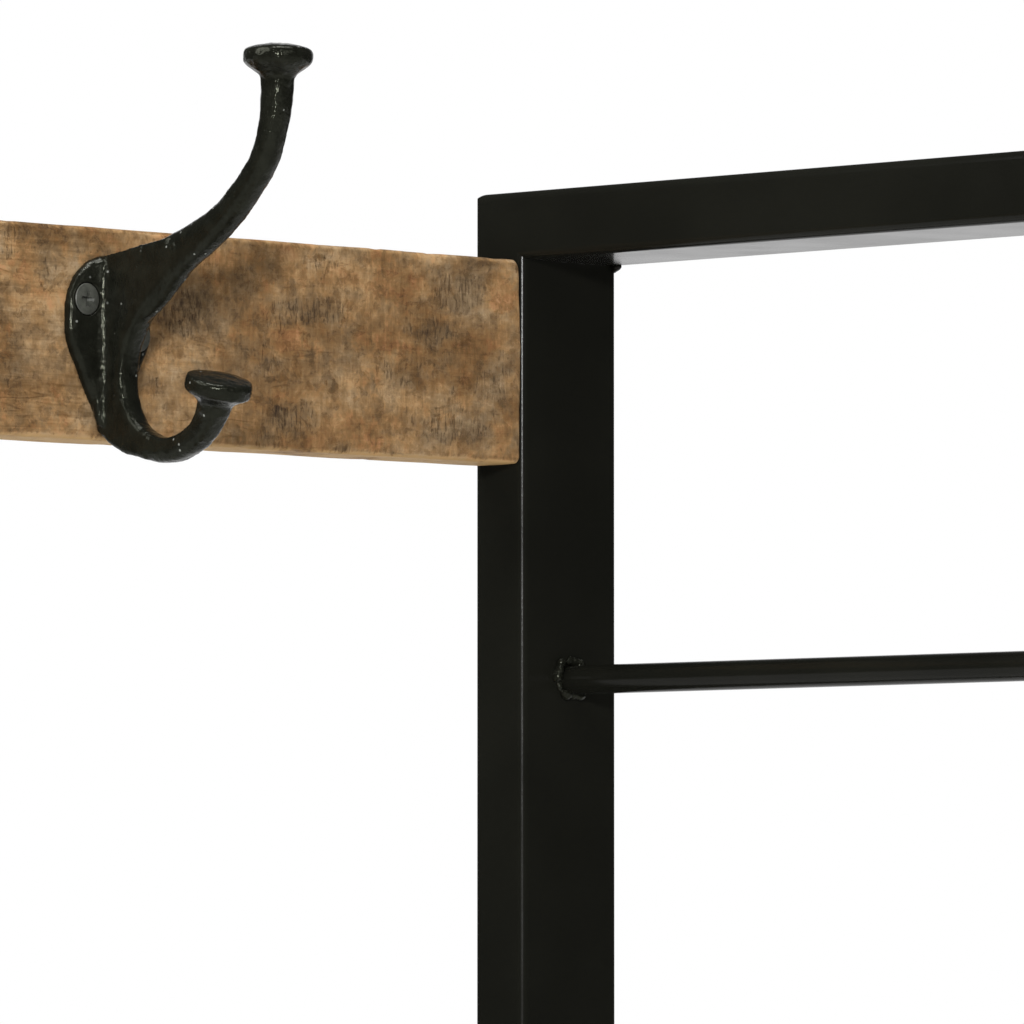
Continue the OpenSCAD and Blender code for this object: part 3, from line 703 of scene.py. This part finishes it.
def hooks():
    casting, head = hook_mesh(), screw_mesh()
    rng = random.Random(5)
    for name in HOOKS:
        low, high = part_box(name)
        place = Vector(((low.x + high.x) / 2, board_front, board_mid_z))
        hook = add_object(f"{name}_casting", casting)
        hook.location = place
        finish_piece(hook, MATERIALS["cast_hook"], "cast_hook", replaces=[name])
        for which, (x, up) in zip(("upper", "lower"), SCREWS):
            screw = add_object(f"{name}_{which}_screw", head.copy(), smooth=False)
            spin = Matrix.Rotation(rng.uniform(0, math.pi / 2), 4, "Z")
            turn = Matrix.Rotation(math.radians(90), 4, "X") @ spin
            screw.matrix_world = Matrix.Translation(place + in_hook(x, PLATE_THICK - 0.15, up)) @ turn
            finish_piece(screw, MATERIALS["black_hardware"], "black_hardware",
                         replaces=["hook_screws"] if (name, which) == (HOOKS[0], "upper") else ())


# ---- welds ----

ROD_ENDS = ("upper_rod", "guard_rod", "shoe_rod")
WELD_VOXEL = 0.45 * MM
GOLDEN_TURN = 0.382
# Drops at the outer end of a fillet, each (forward of the corner, away from the rail, radius) in millimetres
END_DROPS = [(2.2, 0.2, 1.1), (1.2, 0.5, 1.4), (0.2, 1.2, 1.1)]


def weld_bead(bm, centre, inward, rng):
    """Lumps of weld metal round the end of a rod that meets a face at centre; inward is along the rod."""
    for k in range(20):
        angle, far = math.tau * k * GOLDEN_TURN, rng.uniform(3.4, 6.2) * MM
        r, out = rng.uniform(1.0, 2.2) * MM, rng.uniform(0.0, 1.3) * MM
        at = centre + Vector((math.cos(angle) * far, inward * out, math.sin(angle) * far + 0.9 * MM))
        bmesh.ops.create_icosphere(bm, subdivisions=2, radius=r, matrix=Matrix.Translation(at))


def weld_fillet(bm, x, width, corner, out_y, out_z, rng, side_x):
    """A thin wavy fillet along X in the corner between two tubes, with a drop at its outer end."""
    rings, count = [], 26
    for k in range(count + 1):
        size = (0.6 + rng.uniform(-0.1, 0.1)) * MM
        along = x + width * (k / count - 0.5)
        root = Vector((along, corner[0] - out_y * 0.3 * MM, corner[1] - out_z * 0.3 * MM))
        rings.append([root, root + Vector((0, out_y * size, 0)),
                      root + Vector((0, out_y * size * 0.42, out_z * size * 0.42)),
                      root + Vector((0, 0, out_z * size))])
    skin(bm, rings)
    for out, up, r in END_DROPS:
        end_x = x + side_x * (width / 2 + 0.6 * MM)
        at = Vector((end_x, corner[0] + out_y * out * MM, corner[1] + out_z * up * MM))
        bmesh.ops.create_icosphere(bm, subdivisions=2, radius=r * MM, matrix=Matrix.Translation(at))


def weld_metal(name, bm, material, smooth, lump):
    """Fuses the lumps into one rough mass; returns it with its material and slot, ready for finish_piece."""
    metal = object_from(bm, name)
    baked(metal, ("REMESH", {"mode": "VOXEL", "voxel_size": WELD_VOXEL}),
          ("SMOOTH", {"factor": 0.5, "iterations": smooth}))
    roughen(metal, (lump, 2.2 * MM, 4.0 + len(name)))
    return metal, MATERIALS[material], "black_steel"


def welds():
    for seed, side in enumerate(SIDES):
        rng = random.Random(20 + seed)
        bm = bmesh.new()
        low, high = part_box(f"{side}_upper_rod")
        mid_x = (low.x + high.x) / 2
        for rod in ROD_ENDS:
            low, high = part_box(f"{side}_{rod}")
            mid_z = (low.z + high.z) / 2
            weld_bead(bm, Vector((mid_x, low.y, mid_z)), 1, rng)
            weld_bead(bm, Vector((mid_x, high.y, mid_z)), -1, rng)
        finish_piece(*weld_metal(f"{side}_rod_beads", bm, "cast_hook", 2, 0.45 * MM))
        bm = bmesh.new()
        faces = [(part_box(f"{side}_bottom_rail")[1].z, 1), (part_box(f"{side}_top_rail")[0].z, -1)]
        for rail in ("bench_side_rail", "shelf_side_rail"):
            low_rail, high_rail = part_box(f"{side}_{rail}")
            faces += [(high_rail.z, 1), (low_rail.z, -1)]
        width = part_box(f"{side}_top_rail")[1].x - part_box(f"{side}_top_rail")[0].x - 5 * MM
        for z, out_z in faces:
            weld_fillet(bm, mid_x, width, (low.y, z), 1, out_z, rng, math.copysign(1, mid_x))
            weld_fillet(bm, mid_x, width, (high.y, z), -1, out_z, rng, math.copysign(1, mid_x))
        finish_piece(*weld_metal(f"{side}_corner_fillets", bm, "black_steel", 6, 0.1 * MM),
                     replaces=[f"{side}_frame_welds"])


# ---- camera and studio ----

VIEW_AZIMUTH = -45.345
VIEW_ELEVATION = -2.832
VIEW_DISTANCE = 2.758
# The camera's target, across from the right back post's inner edge and down from its top
AIM_ACROSS = 4.3 * MM
AIM_DOWN = 92.9 * MM
LENS = 332.94
SENSOR = 36
# Floor distances in millimetres between which it fades from pale grey to white
FLOOR_FADE = (1600, 4200)
# Area lamps round the camera's target: name, watts, azimuth, elevation, distance, shape, size
LAMPS = [("key", 42, -50, 9, 2.6, "DISK", 0.22), ("glint", 45, -50, 9, 2.6, "DISK", 0.22),
         ("front", 10, -14, 22, 2.6, "SQUARE", 0.9), ("side", 3.6, -100, 35, 0.8, "SQUARE", 0.4)]
ROOM_LIGHT = 0.07
WALL_LIGHT = 0.9
# The wall's direction, and the cosines of the angles from it between which its light fades in
WALL_AZIMUTH = 135
WALL_EDGE = (0.80, 0.97)
SUN_POWER = 3.0
SUN_ANGLE = math.radians(30)
FLOOR_HALF = 9.0


def aim_at(obj, place, target):
    obj.location = place
    obj.rotation_euler = (target - place).to_track_quat("-Z", "Y").to_euler()


def around(azimuth, elevation):
    """Unit vector from the object towards a camera at this azimuth and elevation."""
    a, e = math.radians(azimuth), math.radians(elevation)
    return Vector((math.sin(a) * math.cos(e), -math.cos(a) * math.cos(e), math.sin(e)))


def camera():
    """A long lens that looks slightly up at the corner where the board meets the back post."""
    aim = Vector((post_lo.x - AIM_ACROSS, post_lo.y, post_hi.z - AIM_DOWN))
    data = bpy.data.cameras.new("camera")
    data.lens, data.sensor_width = LENS, SENSOR
    obj = bpy.data.objects.new("camera", data)
    bpy.context.scene.collection.objects.link(obj)
    aim_at(obj, aim + around(VIEW_AZIMUTH, VIEW_ELEVATION) * VIEW_DISTANCE, aim)
    bpy.context.scene.camera = obj
    return aim


def lamp(name, kind, energy, place, target, **settings):
    data = bpy.data.lights.new(name, kind)
    data.energy = energy
    for key, value in settings.items():
        setattr(data, key, value)
    obj = bpy.data.objects.new(name, data)
    bpy.context.scene.collection.objects.link(obj)
    aim_at(obj, place, target)
    obj.visible_camera = False
    return obj


def studio(aim):
    """Pale floor that fades to white, a soft overhead light, a small key beside the camera with a glint that
    only shows in gloss, a front and a side light, and a room that is dim but for a white wall behind the hall
    tree. The camera sees plain white."""
    world = bpy.data.worlds.new("studio")
    bpy.context.scene.world = world
    world.use_nodes = True
    tree = world.node_tree
    back = tree.nodes["Background"]
    back.inputs["Color"].default_value = (1, 1, 1, 1)

    def node(kind, **settings):
        made = tree.nodes.new("ShaderNode" + kind)
        for key, value in settings.items():
            setattr(made, key, value)
        return made

    towards = node("VectorMath", operation="DOT_PRODUCT")
    tree.links.new(node("TexCoord").outputs["Generated"], towards.inputs[0])
    towards.inputs[1].default_value = around(WALL_AZIMUTH, 0)
    wall = node("MapRange", interpolation_type="SMOOTHSTEP")
    for socket, number in zip(wall.inputs[1:], (*WALL_EDGE, ROOM_LIGHT, WALL_LIGHT)):
        socket.default_value = number
    tree.links.new(towards.outputs["Value"], wall.inputs[0])
    seen = node("Mix", data_type="FLOAT")
    tree.links.new(node("LightPath").outputs["Is Camera Ray"], seen.inputs[0])
    tree.links.new(wall.outputs[0], seen.inputs[2])
    seen.inputs[3].default_value = 1.0
    tree.links.new(seen.outputs[0], back.inputs["Strength"])

    half = FLOOR_HALF
    corners = [(-half, -half, 0), (half, -half, 0), (half, half, 0), (-half, half, 0)]
    floor = add_mesh("floor", corners, [(0, 1, 2, 3)])
    m = Paint("floor")
    far = m.node("VectorMath", operation="LENGTH")
    m.put(far.inputs[0], m.place)
    fade = m.step(far.outputs["Value"], *FLOOR_FADE)
    m.set(base_color=m.mix(fade, (0.80, 0.80, 0.79, 1), (0, 0, 0, 1)), roughness=0.9, specular_ior_level=0.0,
          emission_color=(1, 1, 1, 1), emission_strength=fade)
    floor.data.materials.append(m.data)

    lamp("overhead", "SUN", SUN_POWER, Vector((0, -0.6, 6)), Vector((0, 0, 0)), angle=SUN_ANGLE)
    for name, watts, azimuth, elevation, distance, shape, size in LAMPS:
        place = aim + around(azimuth, elevation) * distance
        made = lamp(name, "AREA", watts, place, aim, shape=shape, size=size)
        made.visible_diffuse = name != "glint"
    bpy.context.scene.view_settings.view_transform = "Standard"


studio(camera())
paint_cad_nodes()
hook_board()
planks()
hooks()
welds()
